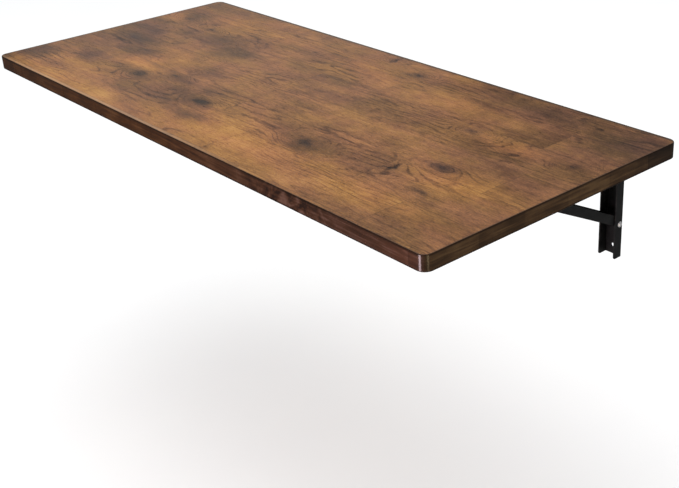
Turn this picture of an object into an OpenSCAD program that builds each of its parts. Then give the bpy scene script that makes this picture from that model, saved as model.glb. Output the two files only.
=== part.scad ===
// Wall desk with a solid wood top on two locking fold-down brackets.
// Origin: wall plane, middle of the width, centre of the pattern of wall screw holes.
// +X runs along the wall, the front edge faces -Y, +Z is up. Shown raised and locked.

/* [Tabletop] */
// Width of the top along the wall
top_w = 1200; // [1080:20:1400]
// Depth of the top from back edge to front edge
top_d = 508; // [460:4:600]
// Thickness of the top
top_t = 25; // [20:1:32]
// Radius of the four corners, seen from above
corner_r = 15; // [8:1:30]
// Round-over of the top and bottom edges
edge_r = 1.5; // [1:0.5:4]
// Gap between the back edge and the wall
wall_gap = 2; // [1:0.5:6]

/* [Brackets] */
// Distance between the middles of the two brackets
bracket_spacing = 980; // [600:20:1000]
// Length of the folding arm under the top
arm_len = 406; // [402:1:440]
// Length of the channel on the wall
channel_len = 188; // [186:1:200]
// Outside width of the wall channel
channel_w = 32; // [29:1:34]
// Depth of the wall channel
channel_d = 19; // [17:0.5:19]
// Thickness of the pressed steel sheet
sheet = 2; // [1.5:0.5:2]
// Height of the brace's side walls
brace_h = 15.5; // [14:0.5:16]

/* [Folding] */
// Distance of the pivots from the wall
pivot_off = 7.5; // [7.5:0.5:9]
// Height from the arm pivot up to the underside of the top
pivot_drop = 24; // [23:1:26]
// Height from the brace pivot up to the arm pivot
pivot_rise = 117; // [112:1:120]
// Angle of the brace above level when the top is raised
brace_angle = 27.5; // [27:0.5:29]
// Height of the arm's slots above the arm pivot
slot_rise = 6; // [5:0.5:6]

/* [Wall screw holes] */
// Height from a channel's lowest hole to its highest
hole_span = 141; // [136:1:144]
// Distance from the highest hole down to the extra one
extra_hole_drop = 30; // [24:1:36]
// Radius of a wall screw hole
hole_r = 3.5; // [3:0.25:4]

/* [Hidden] */
$fn = 64;

// Clearances: turning fit on the radius, play between plates side by side
turn_gap = 0.05;
side_gap = 0.5;

// Longer than any bracket section that a cutter goes through
beyond = 40;

// Half widths of the nested channels, from the wall channel out to the arm and in to the brace
bush_t = 3;
channel_x = channel_w / 2;
brace_x = channel_x - sheet - side_gap;
arm_in_x = channel_x + bush_t;
arm_x = arm_in_x + sheet;

// Heights: zero is halfway between the lowest and the highest wall hole
lowest_hole = -hole_span / 2;
wall_holes = [lowest_hole, hole_span / 2 - extra_hole_drop, hole_span / 2];
hole_from_end = 15;
pivot_from_end = 12;
channel_bottom = lowest_hole - hole_from_end;
channel_top = channel_bottom + channel_len;
pivot_z = channel_top - pivot_from_end;
brace_pivot_z = pivot_z - pivot_rise;
under_z = pivot_z + pivot_drop;
pivot_y = -pivot_off;

// Closed linkage, solved at both ends of the fold. "u" runs forward from the arm pivot.
brace_len = (pivot_rise + slot_rise) / sin(brace_angle);
u_raised = (pivot_rise + slot_rise) / tan(brace_angle);
u_folded = pivot_rise + sqrt(pow(brace_len, 2) - pow(slot_rise, 2));

// Round parts, with rivet heads as [radius, height]
pivot_r = 4;
pivot_head = [6.5, 2.6];
brace_rivet_r = 3.25;
brace_rivet_head = [5, 2.7];
slide_r = 3;
slide_head = [5, 2];
slide_gap = 0.2;
collar_r = 5;
bush_r = 7;

// Slots in the arm: play above and below the slide rivet, and past it at both ends
slot_play = 0.1;
slot_end_play = 0.4;

// Wood screws
screw_r = 2;
screw_len = 18;
screw_tip = 4;
screw_tip_r = 0.2;
screw_head = [4.3, 2.3];
recess_len = 4.4;
recess_w = 0.9;
recess_depth = 1.2;
pilot_extra = 0.5;

// Rounded corners of the pressed sheet, seen from the side
channel_front_r = 3.5;
arm_end_r = 7;
ear_r = 5.2;

// Opening in the brace over the lowest wall screw
access_r = 7.5;

// Brace section, measured across the brace from its pivot line
brace_low = -5;
brace_high = brace_low + brace_h;
brace_web_start = 15;
brace_web_end = brace_len - 24;
ear_slope = 20;

// Places along the arm
screw_places = [30, 140, 325, 385];

// Lock lever: pivot, strip and handle
lever_u = 200;
lever_v = 16.5;
lever_pin_r = 2.2;
lever_pin_head = [4, 1.6];
lever_eye_r = 4.6;
lever_half_w = 7;
knuckle_in_x = 3.8;
knuckle_front = 9;
strip_t = 2.5;
strip_v = 12;
handle_v = 4.5;
handle_end = 302;

// Catch in front of the raised slide rivet: a sloping face from the strip down to a blunt tip
catch_u = u_raised + 1.9;
catch_top_v = slot_rise + slide_r + slot_play;
catch_len = 6;
catch_tip_v = slot_rise + 0.5;
catch_tip_w = 1.4;

// Grip dipped over the handle
grip_start = 264;
grip_wall = 2;
grip_side_wall = 1.6;
grip_end_wall = 4;
grip_round_r = 2.5;

// Spring wire round the lever rivet
wire_r = 0.45;
coil_r = 3.3;
coil_turns = 5;
coil_pitch = 1.1;
steps_per_turn = 20;
coil_start = -coil_turns * coil_pitch / 2;

// Its legs, as [rearward, up] from the rivet: one under the arm's web, one on the lever's strip
arm_leg = [[17, 4.9], [10, 4.7], [4, 3.9]];
lever_leg = [[-5, 2.7], [-14, 0], [-20, -1.3], [-26, -1.5]];

// ---------- helpers ----------

// Extrudes an outline drawn as (forward, up) along X, from x0 to x1
module across(x0, x1) {
    rotate([90, 0, -90])
        translate([0, 0, -x1])
            linear_extrude(x1 - x0)
                children();
}

// Cylinder along X from x0 to x1
module rod_x(r, x0, x1) {
    translate([x0, 0, 0])
        rotate([0, 90, 0])
            cylinder(r = r, h = x1 - x0);
}

// Both mirror images across the bracket's middle plane
module both_sides() {
    children();
    mirror([1, 0, 0]) children();
}

// Domed head of [radius, height] standing on the plane z = 0
module dome(head) {
    r = head[0];
    h = head[1];
    ball_r = (r * r + h * h) / (2 * h);
    intersection() {
        translate([0, 0, h - ball_r])
            sphere(ball_r);
        translate([-2 * r, -2 * r, 0])
            cube([4 * r, 4 * r, 2 * h]);
    }
}

// Domed head of [radius, height] facing +X, its seat at x
module dome_x(head, x) {
    translate([x, 0, 0])
        rotate([0, 90, 0])
            dome(head);
}

// Moves a part drawn round the arm pivot to its place on a bracket
module at_arm_pivot() {
    translate([0, pivot_y, pivot_z])
        children();
}

// Moves to a point (u, v) of the arm
module on_arm(u, v) {
    translate([0, pivot_y - u, pivot_z + v])
        children();
}

// Moves a part drawn along +forward from the brace pivot to the raised brace
module on_brace() {
    translate([0, pivot_y, brace_pivot_z])
        rotate([-brace_angle, 0, 0])
            children();
}

// Places one bracket's part: side is -1 on the left and 1 on the right
module on_side(side) {
    translate([side * bracket_spacing / 2, 0, 0])
        children();
}

// Rectangle from (x0, y0) to (x1, y1)
module box2d(x0, y0, x1, y1) {
    translate([x0, y0])
        square([x1 - x0, y1 - y0]);
}

// Rectangle with its two corners at x1 rounded by r
module end_rounded(x0, y0, x1, y1, r) {
    box2d(x0, y0, x1 - r, y1);
    box2d(x1 - r, y0 + r, x1, y1 - r);
    translate([x1 - r, y0 + r]) circle(r);
    translate([x1 - r, y1 - r]) circle(r);
}

// U section in plan with rounded bends: web along y = 0, walls towards -y
module u_section(half_w, depth) {
    bend = sheet + 0.5;
    difference() {
        union() {
            box2d(-half_w, -depth, half_w, -bend);
            box2d(-half_w + bend, -bend - 1, half_w - bend, 0);
            for (s = [-1, 1])
                translate([s * (half_w - bend), -bend]) circle(bend);
        }
        box2d(-half_w + sheet, -depth - 1, half_w - sheet, -sheet);
    }
}

// ---------- tabletop ----------

// Rounded slab: corner discs with rounded rims, joined
module slab() {
    hull()
        for (sx = [-1, 1], sy = [0, 1])
            translate([
                sx * (top_w / 2 - corner_r),
                -wall_gap - corner_r - sy * (top_d - 2 * corner_r),
                under_z
            ])
                corner_disc();
}

// Disc of the corner radius whose rims are rounded over
module corner_disc() {
    rotate_extrude($fn = 48)
        hull() {
            box2d(0, 0, corner_r - edge_r, top_t);
            for (h = [edge_r, top_t - edge_r])
                translate([corner_r - edge_r, h])
                    intersection() {
                        circle(edge_r, $fn = 24);
                        box2d(0, -edge_r, edge_r, edge_r);
                    }
        }
}

module tabletop() {
    pilot = screw_len - sheet + pilot_extra;
    color("sienna")
        difference() {
            slab();
            for (side = [-1, 1], u = screw_places)
                on_side(side)
                    translate([0, pivot_y - u, under_z - 1])
                        cylinder(r = screw_r + turn_gap, h = pilot + 1);
        }
}

// ---------- parts fixed to the wall ----------

// Side outline of the wall channel, drawn from the wall forward
module channel_outline() {
    translate([0, channel_bottom])
        end_rounded(0, 0, channel_d, channel_len, channel_front_r);
}

module wall_channel() {
    color([0.05, 0.05, 0.05])
        difference() {
            intersection() {
                translate([0, 0, channel_bottom - 1])
                    linear_extrude(channel_len + 2)
                        u_section(channel_x, channel_d + 1);
                across(-channel_x - 1, channel_x + 1)
                    channel_outline();
            }
            for (z = wall_holes)
                translate([0, 1, z])
                    rotate([90, 0, 0])
                        cylinder(r = hole_r, h = sheet + 2);
            at_arm_pivot()
                rod_x(pivot_r + turn_gap, -channel_x - 1, channel_x + 1);
            translate([0, pivot_y, brace_pivot_z])
                rod_x(brace_rivet_r, -channel_x - 1, channel_x + 1);
        }
}

module brace_rivet() {
    color("silver")
        translate([0, pivot_y, brace_pivot_z]) {
            rod_x(brace_rivet_r, -channel_x, channel_x);
            both_sides()
                dome_x(brace_rivet_head, channel_x);
        }
}

// ---------- parts that turn with the top ----------

// Side outline of the arm, round below at the rear, about its pivot, and at the front
module arm_outline() {
    front = arm_len - arm_end_r;
    box2d(-arm_end_r, 0, front, pivot_drop);
    box2d(0, -arm_end_r, front - arm_end_r, arm_end_r);
    for (u = [0, front - arm_end_r])
        translate([u, 0]) circle(arm_end_r);
}

// Slot that guides a slide rivet from the raised to the folded place
module slide_slot() {
    half_h = slide_r + slot_play;
    box2d(u_raised - slot_end_play, slot_rise - half_h, u_folded + slot_end_play, slot_rise + half_h);
    for (u = [u_raised - slot_end_play, u_folded + slot_end_play])
        translate([u, slot_rise]) circle(half_h);
}

module support_arm() {
    color([0.06, 0.06, 0.06])
        at_arm_pivot()
            difference() {
                across(-arm_x, arm_x)
                    arm_outline();
                across(-arm_in_x, arm_in_x)
                    box2d(-arm_len, -arm_len, 2 * arm_len, pivot_drop - sheet);
                across(-arm_x - 1, arm_x + 1) {
                    slide_slot();
                    circle(pivot_r);
                    translate([lever_u, lever_v]) circle(lever_pin_r);
                }
                for (u = screw_places)
                    translate([0, -u, pivot_drop - sheet - 1])
                        cylinder(r = screw_r + turn_gap, h = sheet + 2);
            }
}

module arm_pivot_rivet() {
    color("silver")
        at_arm_pivot() {
            rod_x(pivot_r, -arm_x, arm_x);
            both_sides()
                dome_x(pivot_head, arm_x);
        }
}

module arm_pivot_bushes() {
    color([0.75, 0.75, 0.72])
        at_arm_pivot()
            both_sides()
                difference() {
                    rod_x(bush_r, channel_x + turn_gap, arm_in_x - turn_gap);
                    rod_x(pivot_r + turn_gap, channel_x - 1, arm_in_x + 1);
                }
}

// Pan-head screw with a cross recess, pointing up, its head's seat at z = 0
module arm_screw() {
    shank = screw_len - screw_tip;
    recess_z = recess_depth - screw_head[1];
    difference() {
        rotate([180, 0, 0])
            dome(screw_head);
        for (turn = [0, 90])
            rotate([0, 0, turn])
                translate([-recess_len / 2, -recess_w / 2, recess_z - screw_head[1]])
                    cube([recess_len, recess_w, screw_head[1]]);
    }
    cylinder(r = screw_r, h = shank);
    translate([0, 0, shank])
        cylinder(r1 = screw_r, r2 = screw_tip_r, h = screw_tip);
}

module arm_screws() {
    color("silver")
        for (u = screw_places)
            on_arm(u, pivot_drop - sheet)
                arm_screw();
}

module lever_rivet() {
    color("silver")
        on_arm(lever_u, lever_v) {
            rod_x(lever_pin_r, -arm_x, arm_x);
            both_sides()
                dome_x(lever_pin_head, arm_x);
        }
}

// Points along the spring wire, as [across, rearward, up] from the lever rivet
function coil_point(i) =
    let (a = 90 + 360 * i / steps_per_turn)
    [coil_start + coil_pitch * i / steps_per_turn, coil_r * cos(a), coil_r * sin(a)];
function leg_points(x, leg) = [for (p = leg) [x, p[0], p[1]]];
function spring_path() = concat(
    leg_points(coil_start, arm_leg),
    [for (i = [0 : coil_turns * steps_per_turn]) coil_point(i)],
    leg_points(-coil_start, lever_leg)
);

// Round wire along a path that never runs along X
module wire(path, r, sides = 8) {
    last = len(path) - 1;
    function along(i) =
        let (d = path[min(i + 1, last)] - path[max(i - 1, 0)])
        d / norm(d);
    function out(i) =
        let (c = cross(along(i), [1, 0, 0]))
        c / norm(c);
    ring = [for (i = [0 : last], k = [0 : sides - 1])
        let (n = out(i), b = cross(along(i), n), a = 360 * k / sides)
        path[i] + r * (cos(a) * n + sin(a) * b)];
    walls = [for (i = [0 : last - 1], k = [0 : sides - 1])
        let (j = (k + 1) % sides)
        [i * sides + k, i * sides + j, (i + 1) * sides + j, (i + 1) * sides + k]];
    first_cap = [for (k = [sides - 1 : -1 : 0]) k];
    last_cap = [for (k = [0 : sides - 1]) last * sides + k];
    polyhedron(ring, concat(walls, [first_cap], [last_cap]), convexity = 10);
}

module lock_spring() {
    color("silver")
        on_arm(lever_u, lever_v)
            wire(spring_path(), wire_r);
}

// ---------- brace ----------

// Side outline of the brace: round ears that rise to the full side wall
module brace_outline() {
    touch = ear_r * [-sin(ear_slope), cos(ear_slope)];
    rise_u = touch[0] + (brace_high - touch[1]) / tan(ear_slope);
    circle(ear_r);
    translate([brace_len, 0]) circle(ear_r);
    polygon([
        [0, brace_low],
        [brace_len, brace_low],
        [brace_len, 0],
        [brace_len - touch[0], touch[1]],
        [brace_len - rise_u, brace_high],
        [rise_u, brace_high],
        touch,
        [0, 0]
    ]);
}

module brace() {
    color([0.06, 0.06, 0.06])
        on_brace()
            difference() {
                across(-brace_x, brace_x)
                    brace_outline();
                across(-brace_x + sheet, brace_x - sheet) {
                    box2d(-beyond, brace_low + sheet, brace_len + beyond, beyond);
                    box2d(-beyond, -beyond, brace_web_start, beyond);
                    box2d(brace_web_end, -beyond, brace_len + beyond, beyond);
                }
                rod_x(brace_rivet_r + turn_gap, -channel_w, channel_w);
                translate([0, -brace_len, 0])
                    rod_x(slide_r, -channel_w, channel_w);
                translate([0, lowest_hole - brace_pivot_z, -beyond / 2])
                    cylinder(r = access_r, h = beyond);
            }
}

module latch_pin() {
    color("silver")
        on_brace()
            translate([0, -brace_len, 0])
                rod_x(slide_r, -brace_x, brace_x);
}

// ---------- slide rivets in the arm's slots ----------

module slide_rivets() {
    color("silver")
        on_arm(u_raised, slot_rise)
            both_sides() {
                rod_x(collar_r, brace_x + slide_gap, arm_in_x - turn_gap);
                rod_x(slide_r, arm_in_x - turn_gap, arm_x + turn_gap);
                dome_x(slide_head, arm_x + turn_gap);
            }
}

// ---------- lock lever ----------

// Side outline of the lever's strip, from the middle of its eye to the end of the handle
module lever_outline() {
    catch_end = catch_u + catch_len;
    bend_u = catch_end + 2;
    handle_u = bend_u + 10;
    polygon([
        [lever_u, strip_v],
        [catch_u - 0.5, strip_v],
        [catch_u, catch_top_v],
        [catch_end, catch_tip_v],
        [catch_end + catch_tip_w, catch_tip_v],
        [handle_u, handle_v],
        [handle_end, handle_v],
        [handle_end, handle_v + strip_t],
        [handle_u + 1, handle_v + strip_t],
        [bend_u, strip_v + strip_t],
        [lever_u + lever_eye_r, strip_v + strip_t],
        [lever_u, lever_v]
    ]);
}

module lock_lever() {
    color([0.1, 0.1, 0.1])
        at_arm_pivot()
            difference() {
                across(-lever_half_w, lever_half_w) {
                    lever_outline();
                    translate([lever_u, lever_v]) circle(lever_eye_r);
                }
                across(-lever_half_w - 1, lever_half_w + 1)
                    translate([lever_u, lever_v]) circle(lever_pin_r + turn_gap);
                across(-knuckle_in_x, knuckle_in_x)
                    box2d(lever_u - beyond, -beyond, lever_u + knuckle_front, beyond);
            }
}

module lever_grip() {
    half_w = lever_half_w + grip_side_wall;
    low = handle_v - grip_wall;
    high = handle_v + strip_t + grip_wall;
    color([0.08, 0.08, 0.08])
        at_arm_pivot()
            difference() {
                across(-half_w, half_w)
                    end_rounded(grip_start, low, handle_end + grip_end_wall, high, grip_round_r);
                across(-lever_half_w, lever_half_w)
                    box2d(grip_start - 1, handle_v, handle_end, handle_v + strip_t);
            }
}

// ---------- nodes ----------

tabletop();
on_side(-1) wall_channel();  // wall_channel_left
on_side(1) wall_channel();  // wall_channel_right
on_side(-1) brace_rivet();  // brace_rivet_left
on_side(1) brace_rivet();  // brace_rivet_right
on_side(-1) support_arm();  // support_arm_left
on_side(1) support_arm();  // support_arm_right
on_side(-1) arm_pivot_rivet();  // arm_pivot_rivet_left
on_side(1) arm_pivot_rivet();  // arm_pivot_rivet_right
on_side(-1) arm_pivot_bushes();  // arm_pivot_bushes_left
on_side(1) arm_pivot_bushes();  // arm_pivot_bushes_right
on_side(-1) arm_screws();  // arm_screws_left
on_side(1) arm_screws();  // arm_screws_right
on_side(-1) lever_rivet();  // lever_rivet_left
on_side(1) lever_rivet();  // lever_rivet_right
on_side(-1) lock_spring();  // lock_spring_left
on_side(1) lock_spring();  // lock_spring_right
on_side(-1) brace();  // brace_left
on_side(1) brace();  // brace_right
on_side(-1) latch_pin();  // latch_pin_left
on_side(1) latch_pin();  // latch_pin_right
on_side(-1) slide_rivets();  // slide_rivets_left
on_side(1) slide_rivets();  // slide_rivets_right
on_side(-1) lock_lever();  // lock_lever_left
on_side(1) lock_lever();  // lock_lever_right
on_side(-1) lever_grip();  // lever_grip_left
on_side(1) lever_grip();  // lever_grip_right
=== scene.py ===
"""Looks for a wall-mounted folding desk: stained wood top on two black steel brackets."""
import math

import bmesh
import bpy
from mathutils import Matrix, Vector


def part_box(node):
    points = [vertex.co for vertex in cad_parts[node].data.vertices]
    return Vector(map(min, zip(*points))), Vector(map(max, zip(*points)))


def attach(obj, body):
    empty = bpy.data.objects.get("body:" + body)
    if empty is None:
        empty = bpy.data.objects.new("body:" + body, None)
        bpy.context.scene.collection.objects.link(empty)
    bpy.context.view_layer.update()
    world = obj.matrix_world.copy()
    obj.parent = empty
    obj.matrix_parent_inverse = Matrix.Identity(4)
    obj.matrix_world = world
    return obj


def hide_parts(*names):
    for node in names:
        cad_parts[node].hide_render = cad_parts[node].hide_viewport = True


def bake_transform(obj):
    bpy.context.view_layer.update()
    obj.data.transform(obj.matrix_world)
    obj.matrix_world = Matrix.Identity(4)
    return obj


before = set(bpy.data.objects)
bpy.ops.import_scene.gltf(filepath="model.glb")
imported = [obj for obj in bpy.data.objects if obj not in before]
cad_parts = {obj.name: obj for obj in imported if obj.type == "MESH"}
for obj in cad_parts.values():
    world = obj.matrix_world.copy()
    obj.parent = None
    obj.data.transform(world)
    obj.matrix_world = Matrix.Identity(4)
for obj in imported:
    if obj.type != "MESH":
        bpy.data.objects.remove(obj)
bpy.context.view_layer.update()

SIDES = ("left", "right")
MM = 0.001

# Places that everything else is worked out from
top_low, top_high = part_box("tabletop")
top_middle = (top_low + top_high) / 2
top_size = top_high - top_low


# ---------------------------------------------------------------- node graphs

class Graph:
    """A material's node tree, with one short call for each kind of node."""

    def __init__(self, name):
        self.material = bpy.data.materials.new(name)
        self.material.use_nodes = True
        self.tree = self.material.node_tree
        self.tree.nodes.clear()
        self.shader = self.node("ShaderNodeBsdfPrincipled")
        output = self.node("ShaderNodeOutputMaterial")
        self.tree.links.new(self.shader.outputs[0], output.inputs[0])
        self.place = self.node("ShaderNodeTexCoord").outputs["Object"]

    def node(self, kind, **settings):
        made = self.tree.nodes.new(kind)
        for key, value in settings.items():
            setattr(made, key, value)
        return made

    def feed(self, socket, value):
        """Connects value to socket if it is another socket, and sets it if it is a number or colour."""
        if isinstance(value, bpy.types.NodeSocket):
            self.tree.links.new(value, socket)
        else:
            socket.default_value = value

    def math(self, operation, a, b=0.0, c=0.0):
        made = self.node("ShaderNodeMath", operation=operation)
        for socket, value in zip(made.inputs, (a, b, c)):
            self.feed(socket, value)
        return made.outputs[0]

    def split(self, vector):
        made = self.node("ShaderNodeSeparateXYZ")
        self.feed(made.inputs[0], vector)
        return made.outputs

    def join(self, x, y, z):
        made = self.node("ShaderNodeCombineXYZ")
        for socket, value in zip(made.inputs, (x, y, z)):
            self.feed(socket, value)
        return made.outputs[0]

    def noise(self, vector, scale, detail=3.0, rough=0.55, distortion=0.0):
        made = self.node("ShaderNodeTexNoise")
        for key, value in (("Vector", vector), ("Scale", scale), ("Detail", detail),
                           ("Roughness", rough), ("Distortion", distortion)):
            self.feed(made.inputs[key], value)
        return made.outputs["Fac"]

    def white(self, vector):
        made = self.node("ShaderNodeTexWhiteNoise", noise_dimensions="3D")
        self.feed(made.inputs["Vector"], vector)
        return made.outputs["Value"]

    def tint(self, amount, colour, factors):
        """Multiplies a colour by factors, as far as amount says."""
        return self.mix(amount, colour, self.mix(1.0, colour, factors, "MULTIPLY"))

    def ramp(self, value, low, high, out_low=0.0, out_high=1.0):
        """Maps low..high smoothly to out_low..out_high and holds the end values outside."""
        made = self.node("ShaderNodeMapRange", interpolation_type="SMOOTHSTEP")
        for key, item in (("Value", value), ("From Min", low), ("From Max", high),
                          ("To Min", out_low), ("To Max", out_high)):
            self.feed(made.inputs[key], item)
        return made.outputs[0]

    def colours(self, value, stops):
        """Colour ramp with stops of (position, (r, g, b))."""
        made = self.node("ShaderNodeValToRGB")
        self.feed(made.inputs[0], value)
        points = made.color_ramp.elements
        while len(points) < len(stops):
            points.new(0.5)
        for point, (position, rgb) in zip(points, stops):
            point.position = position
            point.color = (*rgb, 1.0)
        return made.outputs[0]

    def mix(self, amount, a, b, blend="MIX"):
        made = self.node("ShaderNodeMix", data_type="RGBA", blend_type=blend)
        self.feed(made.inputs["Factor"], amount)
        for socket, value in ((made.inputs[6], a), (made.inputs[7], b)):
            self.feed(socket, (*value, 1.0) if isinstance(value, tuple) else value)
        return made.outputs[2]

    def bump(self, height, strength, distance, normal=None):
        made = self.node("ShaderNodeBump")
        made.inputs["Strength"].default_value = strength
        made.inputs["Distance"].default_value = distance
        self.feed(made.inputs["Height"], height)
        if normal is not None:
            self.feed(made.inputs["Normal"], normal)
        return made.outputs[0]

    def soft_edges(self, radius):
        """A normal that rounds sharp edges by radius."""
        made = self.node("ShaderNodeBevel", samples=6)
        made.inputs["Radius"].default_value = radius
        return made.outputs[0]

    def hollows(self, reach):
        """Near 1 in hollows and creases narrower than reach, 0 on open faces: a mask for painted shade."""
        made = self.node("ShaderNodeAmbientOcclusion", samples=8)
        made.inputs["Distance"].default_value = reach
        return self.ramp(made.outputs["AO"], 0.30, 0.85, 1.0, 0.0)

    def finish(self, **inputs):
        """Feeds the Principled shader's inputs: names use _ for a space."""
        for key, value in inputs.items():
            socket = self.shader.inputs[key.replace("_", " ")]
            self.feed(socket, (*value, 1.0) if isinstance(value, tuple) else value)
        return self.material


# ---------------------------------------------------------------- wood

STAVE = 86 * MM          # width of a glued stave
FRONT_STRIP = 7 * MM     # what is left of the stave at the front edge
STAVES_BEHIND = 6        # staves behind that strip, the last of them cut narrower at the back edge
STICK = 0.37             # mean length of the sticks that a stave is joined from
RING = 8.5 * MM          # distance between the dark growth lines
KNOT_REACH = 1.7         # how far growth lines bend round a knot, in its own half sizes

# Linear colours; the first three run from dark to light wood
STAIN = (
    (0.05, (0.022, 0.009, 0.004)),
    (0.22, (0.074, 0.031, 0.012)),
    (0.38, (0.148, 0.064, 0.024)),
    (0.52, (0.238, 0.106, 0.037)),
    (0.66, (0.345, 0.155, 0.049)),
    (0.85, (0.485, 0.248, 0.080)),
)
FRONT_STAIN = (
    (0.35, (0.018, 0.0062, 0.0018)),
    (0.60, (0.050, 0.0175, 0.0042)),
    (0.85, (0.105, 0.0460, 0.0160)),
)
END_STAIN = (
    (0.35, (0.013, 0.0070, 0.0032)),
    (0.60, (0.039, 0.0200, 0.0085)),
    (0.85, (0.085, 0.0480, 0.0200)),
)
GREYED = (0.115, 0.078, 0.060)
GLUE_LINE = (0.040, 0.021, 0.012)
# Colour of the painted shade along the rim of the top face
RIM_SHADE = (0.060, 0.040, 0.028)
# Colour of the painted highlight along the front of the top face
FRONT_HIGHLIGHT = (0.52, 0.33, 0.20)
# Near black of the painted shade at the arrises and over the curve of each corner
ARRIS_SHADE = (0.010, 0.0045, 0.0025)
# Colour that the end faces darken to towards the back
END_FACE_BACK_DARK = (0.010, 0.0060, 0.0045)

OWN = "own"              # marks a noise that differs from stick to stick
# Noise that the grain is made of: scale along it, scale across it, seed, detail, roughness
GRAIN = {
    "shown": (5.0, 13.0, 3.0, 3.0, 0.55),
    "broken": (60.0, 420.0, OWN, 2.0, 0.55),
    "cloud": (11.0, 22.0, OWN, 4.0, 0.62),
    "broad": (4.0, 7.0, 5.0, 3.0, 0.55),
    "ripple": (70.0, 16.0, OWN, 3.0, 0.55),
    "streak": (15.0, 170.0, OWN, 5.0, 0.65),
    "fibre": (75.0, 620.0, OWN, 3.0, 0.7),
    "pore": (85.0, 560.0, 2.0, 2.0, 0.5),
    "speckle": (330.0, 420.0, 9.0, 2.0, 0.7),
    "dense": (9.0, 40.0, 7.0, 3.0, 0.55),
    "hue": (9.0, 17.0, 12.0, 4.0, 0.6),
}
# How much lighter or darker each part makes the wood
SHARES = {
    "cloud": 0.55, "broad": 0.30, "ripple": 0.14, "streak": 0.32, "fibre": 0.34, "speckle": 0.22,
    "lines": -0.24, "pore": -0.20, "glows": 0.19, "shades": -0.29, "knots": -0.22, "hearts": -0.16,
    "cracks": -0.22,
}

# Knots: right of the middle, forward of the back edge, half length, half width, darkness
KNOTS = (
    (-0.529, 0.124, 0.018, 0.009, 0.70),
    (-0.424, 0.139, 0.018, 0.006, 0.75),
    (-0.292, 0.380, 0.021, 0.016, 1.00),
    (-0.232, 0.344, 0.014, 0.006, 0.70),
    (-0.078, 0.388, 0.022, 0.009, 1.00),
    (0.199, 0.380, 0.022, 0.013, 0.90),
    (0.420, 0.305, 0.028, 0.014, 1.00),
    (0.349, 0.178, 0.018, 0.010, 0.80),
    (0.097, 0.054, 0.015, 0.008, 0.85),
    (0.000, 0.018, 0.010, 0.012, 0.70),
    (0.555, 0.178, 0.012, 0.010, 0.70),
    (0.457, 0.382, 0.022, 0.005, 0.80),
)
# Cracks that run across the grain from a knot: right, forward, half length, half width, darkness
CRACKS = (
    (0.366, 0.352, 0.003, 0.014, 0.9),
    (0.374, 0.372, 0.006, 0.006, 0.7),
    (0.004, 0.030, 0.004, 0.010, 0.6),
)
# Soft darker areas, mostly darker wood, with painted shade towards the right end and the back right corner:
# right, forward, half length, half width, strength
SHADES = (
    (-0.330, 0.180, 0.050, 0.024, 0.60),
    (-0.275, 0.195, 0.050, 0.026, 0.75),
    (-0.545, 0.215, 0.060, 0.030, 0.75),
    (-0.485, 0.265, 0.060, 0.028, 0.80),
    (-0.440, 0.300, 0.055, 0.026, 0.75),
    (-0.540, 0.085, 0.050, 0.028, 0.50),
    (-0.195, 0.285, 0.030, 0.018, 0.40),
    (-0.200, 0.345, 0.040, 0.012, 0.45),
    (-0.110, 0.345, 0.040, 0.014, 0.55),
    (-0.110, 0.385, 0.055, 0.012, 0.60),
    (-0.180, 0.425, 0.100, 0.020, 0.60),
    (-0.037, 0.433, 0.035, 0.012, 0.80),
    (-0.575, 0.450, 0.030, 0.034, 0.85),
    (-0.465, 0.380, 0.016, 0.026, 0.45),
    (0.025, 0.170, 0.040, 0.014, 0.50),
    (0.060, 0.215, 0.110, 0.016, 0.30),
    (0.400, 0.040, 0.120, 0.034, 0.68),
    (0.560, 0.070, 0.070, 0.060, 0.95),
    (0.530, 0.180, 0.110, 0.120, 0.45),
    (0.200, 0.380, 0.050, 0.022, 0.45),
    (0.560, 0.380, 0.050, 0.050, 0.35),
    (0.350, 0.360, 0.040, 0.030, 0.35),
    (0.520, 0.440, 0.080, 0.060, 0.42),
    (-0.440, 0.190, 0.050, 0.020, 0.45),
    (-0.592, 0.496, 0.022, 0.013, 1.00),
)
# Soft lighter, more orange areas: right, forward, half length, half width, strength
GLOWS = (
    (-0.330, 0.300, 0.055, 0.038, 0.70),
    (-0.345, 0.348, 0.045, 0.014, 1.00),
    (-0.400, 0.490, 0.170, 0.020, 0.80),
    (-0.430, 0.430, 0.100, 0.024, 0.45),
    (0.080, 0.440, 0.150, 0.040, 0.85),
    (-0.020, 0.400, 0.060, 0.018, 0.60),
    (0.022, 0.090, 0.080, 0.036, 0.55),
    (0.480, 0.330, 0.060, 0.030, 0.80),
    (0.430, 0.440, 0.120, 0.024, 0.75),
    (0.440, 0.185, 0.040, 0.016, 0.80),
    (-0.565, 0.125, 0.022, 0.020, 0.60),
    (0.230, 0.110, 0.070, 0.020, 0.35),
    (0.280, 0.430, 0.080, 0.034, 0.45),
    (-0.400, 0.075, 0.120, 0.030, 0.50),
)


def squared_distance(g, x, y, spot):
    """Square of the distance from a spot's middle, where 1 is the edge of its ellipse."""
    right, forward, half_x, half_y = spot[:4]
    along = g.math("MULTIPLY", g.math("SUBTRACT", x, right), 1 / half_x)
    across = g.math("MULTIPLY", g.math("SUBTRACT", y, forward), 1 / half_y)
    return g.math("MULTIPLY_ADD", along, along, g.math("MULTIPLY", across, across))


def bell(g, square, width=1.0):
    """1 in a spot's middle, falling smoothly to 0; width is in the spot's own half sizes."""
    return g.math("POWER", math.exp(-0.5 / width ** 2), square)


def spots(g, x, y, listed, width=1.0):
    """The strongest of several spots at each point."""
    masks = [g.math("MULTIPLY", bell(g, squared_distance(g, x, y, spot), width), spot[4]) for spot in listed]
    strongest = masks[0]
    for mask in masks[1:]:
        strongest = g.math("MAXIMUM", strongest, mask)
    return strongest


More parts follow.
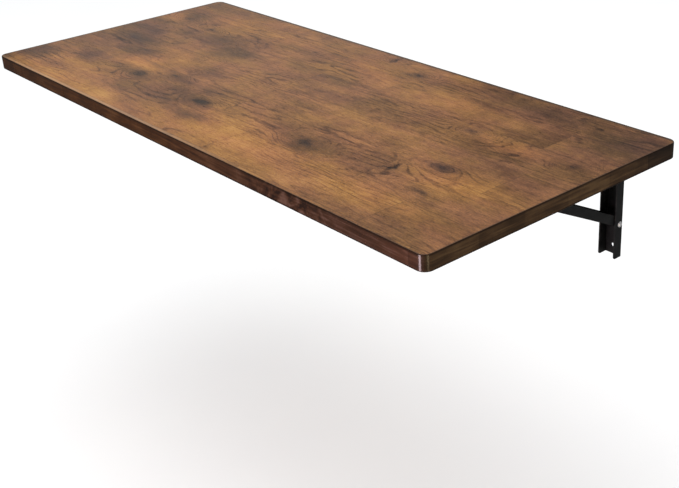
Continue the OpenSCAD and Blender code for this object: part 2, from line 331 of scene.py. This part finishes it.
def centred_noise(g, x, y, scale_x, scale_y, seed=0.0, detail=3.0, rough=0.55):
    """Noise about zero, stretched differently along and across the grain."""
    at = g.join(g.math("MULTIPLY", x, scale_x), g.math("MULTIPLY", y, scale_y), seed)
    return g.math("SUBTRACT", g.noise(at, 1.0, detail=detail, rough=rough), 0.5)


def gap_line(g, position, reach):
    """1 where position is a whole number, 0 from reach away, in position's own units."""
    near = g.math("ABSOLUTE", g.math("SUBTRACT", g.math("FRACT", g.math("ADD", position, 0.5)), 0.5))
    return g.ramp(near, reach * 0.25, reach, 1.0, 0.0)


class Board:
    """Sockets that say where a point lies in the glued-up panel, and in which stick."""

    def __init__(self, g):
        self.x, y_row, self.z = g.split(g.place)
        self.back = g.math("SUBTRACT", top_high.y, y_row)      # forward of the back edge
        self.height = g.math("SUBTRACT", self.z, top_high.z)
        first_stave = top_size.y - FRONT_STRIP - STAVES_BEHIND * STAVE
        self.stave_at = g.math("DIVIDE", g.math("SUBTRACT", self.back, first_stave), STAVE)
        self.stave = g.math("FLOOR", self.stave_at)
        self.y_stave = g.math("MULTIPLY", g.math("FRACT", self.stave_at), STAVE)
        shift = g.white(g.join(self.stave, 3.7, 0.0))
        self.stick_at = g.math("MULTIPLY_ADD", shift, 7.0, g.math("DIVIDE", self.x, STICK))
        self.stick = g.math("FLOOR", self.stick_at)
        # Two random numbers for each stick
        self.tone = g.white(g.join(self.stave, self.stick, 1.3))
        self.turn = g.white(g.join(self.stave, self.stick, 9.1))
        self.own_seed = g.math("MULTIPLY", self.tone, 57.0)

    def grain(self, g, name):
        """One of the GRAIN noises."""
        scale_x, scale_y, seed, detail, rough = GRAIN[name]
        seed = self.own_seed if seed == OWN else seed
        return centred_noise(g, self.x, self.back, scale_x, scale_y, seed, detail, rough)


def growth_lines(g, board):
    """Dark growth lines of flat-sawn sticks: arches along the grain that flow round the knots."""
    x, back = board.x, board.back
    pith_y = g.math("MULTIPLY_ADD", board.turn, 0.12, -0.02)
    pith_z = g.math("MULTIPLY_ADD", board.tone, -0.06, -0.014)
    tilt = g.math("MULTIPLY", g.math("SUBTRACT", board.turn, 0.5), 0.20)
    across = g.math("SUBTRACT", board.y_stave, pith_y)
    up = g.math("ADD", g.math("MULTIPLY_ADD", tilt, x, board.height), pith_z)
    radius = g.math("SQRT", g.math("MULTIPLY_ADD", across, across, g.math("MULTIPLY", up, up)))
    seed = g.math("MULTIPLY", board.tone, 40.0)
    radius = g.math("MULTIPLY_ADD", centred_noise(g, x, back, 4.0, 16.0, seed, 2.0), 0.055, radius)
    radius = g.math("MULTIPLY_ADD", centred_noise(g, x, back, 30.0, 90.0, seed, 2.0), 0.006, radius)
    for knot in KNOTS:
        square = squared_distance(g, x, back, knot)
        own = g.math("MULTIPLY", g.math("SQRT", square), 0.8 * knot[3])
        near = bell(g, square, KNOT_REACH)
        radius = g.math("MULTIPLY_ADD", g.math("SUBTRACT", own, radius), near, radius)
    wave = g.math("SINE", g.math("MULTIPLY", radius, 2 * math.pi / RING))
    return g.ramp(wave, 0.50, 1.0)


def drawn_parts(g, board):
    """Masks of the knots, cracks, shades and glows, all with ragged outlines."""
    x, back = board.x, board.back
    x_soft = g.math("MULTIPLY_ADD", centred_noise(g, x, back, 16.0, 30.0, 1.0, 5.0, 0.65), 0.075, x)
    y_soft = g.math("MULTIPLY_ADD", centred_noise(g, x, back, 14.0, 40.0, 4.0, 5.0, 0.65), 0.045, back)
    x_near = g.math("MULTIPLY_ADD", centred_noise(g, x, back, 60.0, 110.0, 6.0, 3.0), 0.020, x)
    y_near = g.math("MULTIPLY_ADD", centred_noise(g, x, back, 50.0, 130.0, 8.0, 3.0), 0.014, back)
    knots = spots(g, x_near, y_near, KNOTS, 0.85)
    return {
        "knots": knots,
        "hearts": g.ramp(knots, 0.45, 0.95),
        "cracks": g.ramp(spots(g, x_near, y_near, CRACKS), 0.15, 0.55),
        "shades": spots(g, x_soft, y_soft, SHADES),
        "glows": spots(g, x_soft, y_soft, GLOWS),
    }


def grain_parts(g, board):
    """Growth lines, clouds, streaks, fibre, pores and speckle, crisper towards the front right."""
    parts = {name: board.grain(g, name) for name in ("cloud", "broad", "ripple", "streak")}
    crisp = g.ramp(g.math("ADD", board.x, board.back), -0.2, 0.7, 0.85, 1.6)
    for name in ("fibre", "speckle"):
        parts[name] = g.math("MULTIPLY", board.grain(g, name), crisp)
    shown = g.ramp(board.grain(g, "shown"), -0.10, 0.14, 0.10, 1.0)
    broken = g.ramp(board.grain(g, "broken"), -0.22, 0.10, 0.25, 1.0)
    parts["lines"] = g.math("MULTIPLY", g.math("MULTIPLY", growth_lines(g, board), shown), broken)
    dense = g.ramp(board.grain(g, "dense"), -0.12, 0.12, 0.35, 1.0)
    parts["pore"] = g.math("MULTIPLY", g.ramp(board.grain(g, "pore"), 0.10, 0.17), dense)
    return parts


def face_colour(g, board, parts):
    """Stained wood: lightness from all parts, then greyer knots, warmer glows and a drift in hue."""
    light = g.math("MULTIPLY_ADD", board.tone, 0.05, 0.52)
    for name, share in SHARES.items():
        light = g.math("MULTIPLY_ADD", parts[name], share, light)
    colour = g.colours(light, STAIN)
    greyed = g.mix(0.6, colour, GREYED)
    grey_amount = g.math("MAXIMUM", g.math("MULTIPLY", parts["shades"], 0.38),
                         g.math("MULTIPLY", parts["knots"], 0.38))
    colour = g.mix(grey_amount, colour, greyed)
    colour = g.tint(g.math("MULTIPLY", parts["glows"], 0.6), colour, (1.12, 0.99, 0.66))
    hue = g.ramp(board.grain(g, "hue"), -0.16, 0.16)
    plum = g.mix(1.0, colour, (1.01, 0.96, 1.14), "MULTIPLY")
    honey = g.mix(1.0, colour, (0.99, 1.03, 0.92), "MULTIPLY")
    return g.mix(hue, plum, honey)


def rim_shade(g, board):
    """Painted shade along the rim of the top face, where its round-over turns away from the light: a wider
    line at the back and the left.
    """
    sides = (
        (g.math("SUBTRACT", top_high.x, board.x), 3 * MM),
        (g.math("SUBTRACT", board.x, top_low.x), 6 * MM),
        (board.back, 10 * MM),
        (g.math("SUBTRACT", top_size.y, board.back), 2.5 * MM),
    )
    rim = 0.0
    for inward, width in sides:
        rim = g.math("MAXIMUM", rim, g.ramp(inward, width * 0.3, width, 1.0, 0.0))
    return rim


def front_arris_highlight(g, board):
    """A painted highlight: a lighter line along the front of the top face, where its round-over catches the
    light, strongest left of the middle.
    """
    near_front = g.ramp(board.back, top_size.y - 9 * MM, top_size.y - 4 * MM)
    leftward = g.ramp(board.x, 0.30, -0.10)
    from_corner = g.ramp(board.x, -0.59, -0.45, 0.35, 1.0)
    return g.math("MULTIPLY", g.math("MULTIPLY", near_front, leftward), from_corner)


def edge_lightness(g, board, end):
    """Streaks along the sawn edges, each stave's own tone, and a curly figure in the front edge."""
    along = g.math("MULTIPLY", board.stick, g.math("SUBTRACT", 1.0, end))
    tone = g.white(g.join(board.stave, along, 5.5))
    streak = g.noise(g.join(g.math("MULTIPLY", board.x, 14.0), g.math("MULTIPLY", board.back, 14.0),
                            g.math("MULTIPLY", board.z, 260.0)), 1.0, detail=4.0)
    blotch = g.noise(g.place, 26.0, detail=3.0)
    light = g.math("MULTIPLY_ADD", streak, 0.80, g.math("MULTIPLY_ADD", blotch, 0.43, -0.18))
    light = g.math("MULTIPLY_ADD", tone, 0.34, light)
    curl = g.math("SUBTRACT", g.noise(g.place, 42.0, detail=2.5, distortion=1.4), 0.53)
    curled = g.ramp(g.math("ABSOLUTE", g.math("SUBTRACT", board.x, 0.325)), 0.13, 0.03)
    return g.math("MULTIPLY_ADD", g.math("MULTIPLY", curl, curled), 1.5, light)


def edge_colour(g, board, facing_side):
    """Stain on the sawn edges: much darker, rosier to the right, with painted shade that makes the arrises
    and the curve of each corner nearly black, and a painted highlight on the long edges just short of the
    right-hand corners.
    """
    end = g.ramp(facing_side, 0.45, 0.80)
    light = edge_lightness(g, board, end)
    front = g.colours(light, FRONT_STAIN)
    front = g.tint(g.ramp(board.x, -0.15, 0.45), front, (0.88, 1.0, 2.1))
    # Painted highlight: the long edges lighter just short of the right-hand corners, beside the corner glint
    front = g.tint(g.ramp(board.x, 0.50, 0.588), front, (1.55, 1.50, 1.65))
    ends = g.colours(light, END_STAIN)
    # The end faces darker towards the back
    ends = g.mix(g.ramp(board.back, 0.14, 0.0, 0.0, 0.55), ends, END_FACE_BACK_DARK)
    # Painted shade: near black along the arrises and over the curve of each corner
    from_arris = g.math("MINIMUM", g.math("SUBTRACT", top_high.z, board.z),
                        g.math("SUBTRACT", board.z, top_low.z))
    arris_shade = g.ramp(from_arris, 1.5 * MM, 4.0 * MM, 0.75, 0.0)
    corner = g.math("MULTIPLY", g.ramp(facing_side, 0.20, 0.45), g.ramp(facing_side, 0.985, 0.90))
    dark = g.math("MAXIMUM", arris_shade, g.math("MULTIPLY", corner, 0.55))
    return g.mix(dark, g.mix(end, front, ends), ARRIS_SHADE)


def wood_material():
    g = Graph("stained_wood")
    board = Board(g)
    parts = {**drawn_parts(g, board), **grain_parts(g, board)}
    joints = g.math("MAXIMUM", gap_line(g, board.stave_at, 0.010), gap_line(g, board.stick_at, 0.0022))

    colour = face_colour(g, board, parts)
    colour = g.mix(g.math("MULTIPLY", joints, 0.42), colour, GLUE_LINE)
    # Painted shade along the rim of the top face
    colour = g.mix(g.math("MULTIPLY", rim_shade(g, board), 0.85), colour, RIM_SHADE)
    # Painted highlight along the front of the top face
    colour = g.mix(g.math("MULTIPLY", front_arris_highlight(g, board), 0.40), colour, FRONT_HIGHLIGHT)
    normal_x, _, normal_z = g.split(g.node("ShaderNodeTexCoord").outputs["Normal"])
    edge = g.ramp(g.math("ABSOLUTE", normal_z), 0.985, 0.80)
    colour = g.mix(edge, colour, edge_colour(g, board, g.math("ABSOLUTE", normal_x)))

    relief = g.math("MULTIPLY_ADD", parts["fibre"], 0.8, g.math("MULTIPLY", parts["streak"], 0.5))
    sunk = ((parts["pore"], -0.5), (parts["lines"], -0.45), (joints, -1.2), (parts["cracks"], -1.5))
    for part, share in sunk:
        relief = g.math("MULTIPLY_ADD", part, share, relief)
    rough = g.math("MULTIPLY_ADD", parts["cloud"], 0.20, g.math("MULTIPLY_ADD", edge, -0.10, 0.42))
    rough = g.math("MULTIPLY_ADD", parts["pore"], 0.15, rough)
    return g.finish(Base_Color=colour, Roughness=rough, Normal=g.bump(relief, 0.30, 0.25 * MM),
                    Specular_IOR_Level=g.math("MULTIPLY_ADD", edge, -0.25, 0.30),
                    Coat_Weight=g.math("MULTIPLY_ADD", edge, 0.35, 0.20),
                    Coat_Roughness=0.16, Coat_IOR=1.45)


# ---------------------------------------------------------------- metals and plastics

def black_steel():
    """Satin black powder coat: fine orange peel, grey where edges are rubbed, and painted shade that darkens
    colour and reflections in hollows.
    """
    g = Graph("black_powder_coat")
    peel = g.noise(g.place, 1400.0, detail=2.0)
    dust = g.noise(g.place, 60.0, detail=5.0, rough=0.65)
    rounded = g.soft_edges(0.5 * MM)
    edge = g.node("ShaderNodeVectorMath", operation="DOT_PRODUCT")
    g.feed(edge.inputs[0], rounded)
    g.feed(edge.inputs[1], g.node("ShaderNodeNewGeometry").outputs["Normal"])
    rubbed = g.math("MULTIPLY", g.ramp(edge.outputs["Value"], 0.985, 0.80), g.ramp(dust, 0.45, 0.70))
    colour = g.colours(dust, ((0.35, (0.005, 0.0052, 0.0055)), (0.70, (0.012, 0.0122, 0.0122))))
    colour = g.mix(g.math("MULTIPLY", rubbed, 0.45), colour, (0.12, 0.115, 0.11))
    # Painted shade: colour and reflections darkened in hollows and creases
    hollow_shade = g.hollows(30 * MM)
    colour = g.mix(g.math("MULTIPLY", hollow_shade, 0.6), colour, (0.001, 0.001, 0.001))
    rough = g.math("MULTIPLY_ADD", dust, 0.22, 0.28)
    sheen = g.math("MULTIPLY_ADD", hollow_shade, -0.36, 0.50)
    normal = g.bump(peel, 0.12, 0.08 * MM, rounded)
    return g.finish(Base_Color=colour, Roughness=rough, Normal=normal, Specular_IOR_Level=sheen)


def zinc():
    """Bright zinc plate with faint drawing marks and dulled patches."""
    g = Graph("bright_zinc")
    patch = g.noise(g.place, 190.0, detail=4.0)
    marks = g.noise(g.join(*[g.math("MULTIPLY", axis, scale) for axis, scale in
                             zip(g.split(g.place), (300.0, 2600.0, 2600.0))]), 1.0, detail=2.0)
    colour = g.colours(patch, ((0.30, (0.56, 0.56, 0.57)), (0.70, (0.70, 0.70, 0.71))))
    rough = g.math("MULTIPLY_ADD", patch, 0.25, 0.18)
    normal = g.bump(marks, 0.06, 0.05 * MM, g.soft_edges(0.25 * MM))
    return g.finish(Base_Color=colour, Roughness=rough, Normal=normal, Metallic=0.6)


def spring_wire():
    """Drawn spring wire, oiled dark grey."""
    g = Graph("spring_wire")
    patch = g.noise(g.place, 900.0, detail=3.0)
    colour = g.colours(patch, ((0.30, (0.20, 0.20, 0.21)), (0.70, (0.42, 0.42, 0.43))))
    rough = g.math("MULTIPLY_ADD", patch, 0.20, 0.22)
    return g.finish(Base_Color=colour, Roughness=rough, Metallic=1.0, Normal=g.bump(patch, 0.08, 0.03 * MM))


def nylon():
    """Natural nylon: milky, with a faint mottle."""
    g = Graph("natural_nylon")
    mottle = g.noise(g.place, 500.0, detail=3.0)
    colour = g.colours(mottle, ((0.30, (0.62, 0.60, 0.55)), (0.70, (0.74, 0.73, 0.69))))
    rough = g.math("MULTIPLY_ADD", mottle, 0.15, 0.42)
    return g.finish(Base_Color=colour, Roughness=rough, Subsurface_Weight=0.15, Subsurface_Scale=2 * MM,
                    Normal=g.bump(mottle, 0.05, 0.05 * MM))


def vinyl():
    """Dipped vinyl: soft black with a fine leathery skin."""
    g = Graph("dipped_vinyl")
    skin = g.noise(g.place, 900.0, detail=4.0, rough=0.65)
    colour = g.colours(skin, ((0.30, (0.012, 0.012, 0.012)), (0.70, (0.030, 0.030, 0.031))))
    rough = g.math("MULTIPLY_ADD", skin, 0.20, 0.48)
    return g.finish(Base_Color=colour, Roughness=rough, Normal=g.bump(skin, 0.25, 0.12 * MM))


# ---------------------------------------------------------------- pieces

def add_mesh(name, build, material):
    """A smooth-shaded object whose bmesh is filled by build."""
    mesh = bpy.data.meshes.new(name)
    bm = bmesh.new()
    build(bm)
    bmesh.ops.recalc_face_normals(bm, faces=bm.faces)
    for face in bm.faces:
        face.smooth = True
    bm.to_mesh(mesh)
    bm.free()
    mesh.materials.append(material)
    piece = bpy.data.objects.new(name, mesh)
    bpy.context.scene.collection.objects.link(piece)
    return piece


def skin_rings(bm, rings):
    """Joins rings of points, all of one length, into a tube, with a face over each end."""
    loops = [[bm.verts.new(point) for point in ring] for ring in rings]
    count = len(loops[0])
    for low, high in zip(loops, loops[1:]):
        for i in range(count):
            j = (i + 1) % count
            bm.faces.new((low[i], low[j], high[j], high[i]))
    bm.faces.new(reversed(loops[0]))
    bm.faces.new(loops[-1])


def rounded_rectangle(half_x, half_y, radius, steps):
    """Points round a rectangle with arcs at its corners, about the origin."""
    points = []
    for corner, (sx, sy) in enumerate(((1, 1), (-1, 1), (-1, -1), (1, -1))):
        for step in range(steps + 1):
            angle = math.radians(90 * (corner + step / steps))
            points.append((sx * (half_x - radius) + radius * math.cos(angle),
                           sy * (half_y - radius) + radius * math.sin(angle)))
    return points


def tabletop_panel(material):
    """The glued-up top: rounded corners, and a small round-over along every edge."""
    corner, over, arc_steps, over_steps = 15 * MM, 1.5 * MM, 24, 8

    def build(bm):
        levels = [(top_low.z + over, -90 + 90 * k / over_steps) for k in range(over_steps + 1)]
        levels += [(top_high.z - over, 90 * k / over_steps) for k in range(over_steps + 1)]
        rings = []
        for middle, degrees in levels:
            angle = math.radians(degrees)
            inset = over * (1 - math.cos(angle))
            height = middle + over * math.sin(angle)
            outline = rounded_rectangle(top_size.x / 2 - inset, top_size.y / 2 - inset,
                                        corner - inset, arc_steps)
            rings.append([(top_middle.x + px, top_middle.y + py, height) for px, py in outline])
        skin_rings(bm, rings)

    panel = add_mesh("tabletop_panel", build, material)
    panel.modifiers.new("flat_faces_stay_flat", "WEIGHTED_NORMAL")
    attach(panel, "top")
    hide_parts("tabletop")


def lever_sleeve(side, material):
    """Dipped grip on the lever's handle: soft oval section, closed round nose, shallow ribs."""
    low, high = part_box(f"lever_grip_{side}")
    middle, half = (low + high) / 2, (high - low) / 2
    steps, around = 84, 40
    rib_count, rib_depth = 7, 0.055
    nose_share, mouth_share = 0.10, 0.04     # of the length
    squareness = 0.55                        # 1 gives an ellipse, less a fuller section

    def girth(t):
        """How much of the full section is left at t, from 0 at the mouth to 1 at the nose."""
        nose = min(1.0, (1 - t) / nose_share)
        mouth = min(1.0, t / mouth_share)
        fullness = math.sqrt(max(1 - (1 - nose) ** 2, 0.03)) * (0.93 + 0.07 * math.sqrt(mouth))
        ribbed = 0.12 < t < 0.86
        groove = rib_depth * max(0.0, math.sin(2 * math.pi * rib_count * t)) if ribbed else 0.0
        return fullness * (1 - groove)

    def ring(t):
        y = high.y - t * (high.y - low.y)
        points = []
        for i in range(around):
            angle = 2 * math.pi * i / around
            c, s = math.cos(angle), math.sin(angle)
            points.append((middle.x + half.x * girth(t) * math.copysign(abs(c) ** squareness, c),
                           y,
                           middle.z + half.z * girth(t) * math.copysign(abs(s) ** squareness, s)))
        return points

    def build(bm):
        skin_rings(bm, [ring(k / steps) for k in range(steps + 1)])

    sleeve = add_mesh(f"lever_sleeve_{side}", build, material)
    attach(sleeve, f"lever_{side}")
    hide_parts(f"lever_grip_{side}")


WIRE_RADIUS = 0.45 * MM


def spring_points(centre):
    """The wire's path: a leg under the arm's web, five turns, a leg on the lever."""
    turns, per_turn, radius, pitch = 5, 28, 3.3 * MM, 1.1 * MM
    start = -turns * pitch / 2
    rear_leg = [(start, 17, 4.9), (start, 10, 4.7), (start, 4, 3.9)]
    front_leg = [(-start, -5, 2.7), (-start, -9.5, 1.35), (-start, -14, 0), (-start, -20, -1.3),
                 (-start, -26, -1.5)]
    points = [centre + Vector((x, y * MM, z * MM)) for x, y, z in rear_leg]
    for i in range(turns * per_turn + 1):
        angle = math.pi / 2 + 2 * math.pi * i / per_turn
        points.append(centre + Vector((start + pitch * i / per_turn,
                                       radius * math.cos(angle), radius * math.sin(angle))))
    points += [centre + Vector((x, y * MM, z * MM)) for x, y, z in front_leg]
    return points


def wire_rings(points, radius, around=12):
    """Rings of points round a path that never runs along X."""
    rings = []
    for i, point in enumerate(points):
        along = (points[min(i + 1, len(points) - 1)] - points[max(i - 1, 0)]).normalized()
        out = along.cross(Vector((1, 0, 0))).normalized()
        aside = along.cross(out)
        rings.append([point + radius * (math.cos(angle) * out + math.sin(angle) * aside)
                      for angle in (2 * math.pi * k / around for k in range(around))])
    return rings


def lock_spring(side, material):
    """Torsion spring on the lever's rivet."""
    low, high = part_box(f"lever_rivet_{side}")
    centre = (low + high) / 2
    rings = wire_rings(spring_points(centre), WIRE_RADIUS)
    wire = add_mesh(f"lock_spring_wire_{side}", lambda bm: skin_rings(bm, rings), material)
    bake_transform(wire)
    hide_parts(f"lock_spring_{side}")


def paint(node, material):
    """Gives a CAD node its material."""
    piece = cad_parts[node]
    if not piece.material_slots:
        piece.data.materials.append(material)
    for slot in piece.material_slots:
        slot.material = material


def paint_brackets():
    steel, plate, bush = black_steel(), zinc(), nylon()
    rubber, wire = vinyl(), spring_wire()
    by_material = {
        steel: ("wall_channel", "support_arm", "brace", "lock_lever"),
        plate: ("brace_rivet", "arm_pivot_rivet", "arm_screws", "lever_rivet", "latch_pin", "slide_rivets"),
        bush: ("arm_pivot_bushes",),
    }
    for side in SIDES:
        for material, kinds in by_material.items():
            for kind in kinds:
                paint(f"{kind}_{side}", material)
        lever_sleeve(side, rubber)
        lock_spring(side, wire)


# ---------------------------------------------------------------- stage

FLOOR_Z = top_high.z - 0.74   # a desk's usual height
AMBIENT = 1.02                # brightness of the surrounding pale studio
FLAGGED = 0.90                # how much of the pale surroundings is kept out of reflections

# The camera: angles in degrees, sensor and lens in millimetres, shift in sensor widths, place in metres
VIEW_TURN, VIEW_RISE, VIEW_ROLL = 49.41, 25.86, -2.53
SENSOR, LENS = 36.0, 60.86
VIEW_SHIFT = (-0.0865, -0.0327)
VIEW_PLACE = (1.5115, -1.3294, 0.7821)


def floor():
    """Pale floor, see-through from below. Reflections see it darker, as with black flags round a set."""
    g = Graph("pale_floor")
    grain = g.noise(g.place, 2.0, detail=6.0)
    colour = g.colours(grain, ((0.3, (0.925, 0.925, 0.925)), (0.7, (0.945, 0.945, 0.94))))
    ray = g.node("ShaderNodeLightPath").outputs
    colour = g.mix(g.math("MULTIPLY", ray["Is Glossy Ray"], FLAGGED), colour, (0.0, 0.0, 0.0))
    backfacing = g.node("ShaderNodeNewGeometry").outputs["Backfacing"]
    shown = g.math("SUBTRACT", 1.0, g.math("MULTIPLY", backfacing, ray["Is Camera Ray"]))
    material = g.finish(Base_Color=colour, Roughness=0.85, Specular_IOR_Level=0.0, Alpha=shown)
    bpy.ops.mesh.primitive_plane_add(size=60, location=(0, 0, FLOOR_Z))
    plane = bpy.context.object
    plane.name = "floor"
    plane.data.materials.append(material)


def soft_light(name, place, target, size, power, colour=(1, 1, 1)):
    """A rectangular softbox at place, turned to target, that the camera doesn't see."""
    data = bpy.data.lights.new(name, "AREA")
    data.shape = "RECTANGLE"
    data.size, data.size_y = size
    data.energy = power
    data.color = colour
    lamp = bpy.data.objects.new(name, data)
    lamp.location = place
    lamp.rotation_mode = "QUATERNION"
    lamp.rotation_quaternion = (Vector(target) - Vector(place)).to_track_quat("-Z", "Y")
    lamp.visible_camera = False
    bpy.context.scene.collection.objects.link(lamp)


def studio():
    """Pale surroundings, dimmer in reflections."""
    world = bpy.data.worlds.new("studio")
    world.use_nodes = True
    tree = world.node_tree
    sky = tree.nodes["Background"]
    sky.inputs[0].default_value = (0.98, 0.99, 1.0, 1.0)
    path = tree.nodes.new("ShaderNodeLightPath")
    strength = tree.nodes.new("ShaderNodeMath")
    strength.operation = "MULTIPLY_ADD"
    tree.links.new(path.outputs["Is Glossy Ray"], strength.inputs[0])
    strength.inputs[1].default_value = -AMBIENT * FLAGGED
    strength.inputs[2].default_value = AMBIENT
    tree.links.new(strength.outputs[0], sky.inputs[1])
    bpy.context.scene.world = world


def lights():
    """A soft overhead key, a sheen from behind, and two small boxes that glint in the front right corner."""
    corner = Vector((top_high.x, top_low.y, top_middle.z))
    rose, amber = (1.0, 0.78, 0.83), (1.0, 0.78, 0.45)
    soft_light("key_overhead", (-0.2, -0.6, 2.8), top_middle, (2.4, 1.8), 27)
    soft_light("sheen_back_left", (-3.0, 1.6, 1.1), top_middle, (2.0, 0.7), 2.1)
    soft_light("corner_glint_front", corner + Vector((-0.10, -1.25, -0.60)), corner, (0.42, 0.50), 14, rose)
    soft_light("corner_glint_side", corner + Vector((1.34, -0.33, -0.58)), corner, (0.40, 0.20), 3, amber)


def camera():
    """The photo's viewing angle, from the right and above, with a slight roll and an off-centre crop."""
    turn, rise, roll = (math.radians(angle) for angle in (VIEW_TURN, VIEW_RISE, VIEW_ROLL))
    back = Vector((math.sin(turn) * math.cos(rise), -math.cos(turn) * math.cos(rise), math.sin(rise)))
    right = Vector((math.cos(turn), math.sin(turn), 0.0))
    up = back.cross(right)
    across = right * math.cos(roll) + up * math.sin(roll)
    upward = up * math.cos(roll) - right * math.sin(roll)
    data = bpy.data.cameras.new("camera")
    data.sensor_width, data.lens = SENSOR, LENS
    data.shift_x, data.shift_y = VIEW_SHIFT
    data.clip_start, data.clip_end = 0.05, 100.0
    view = bpy.data.objects.new("camera", data)
    axes = Matrix((across, upward, back)).transposed()
    view.matrix_world = Matrix.Translation(VIEW_PLACE) @ axes.to_4x4()
    bpy.context.scene.collection.objects.link(view)
    bpy.context.scene.camera = view


tabletop_panel(wood_material())
paint_brackets()
floor()
studio()
lights()
camera()
bpy.context.scene.view_settings.view_transform = "Standard"
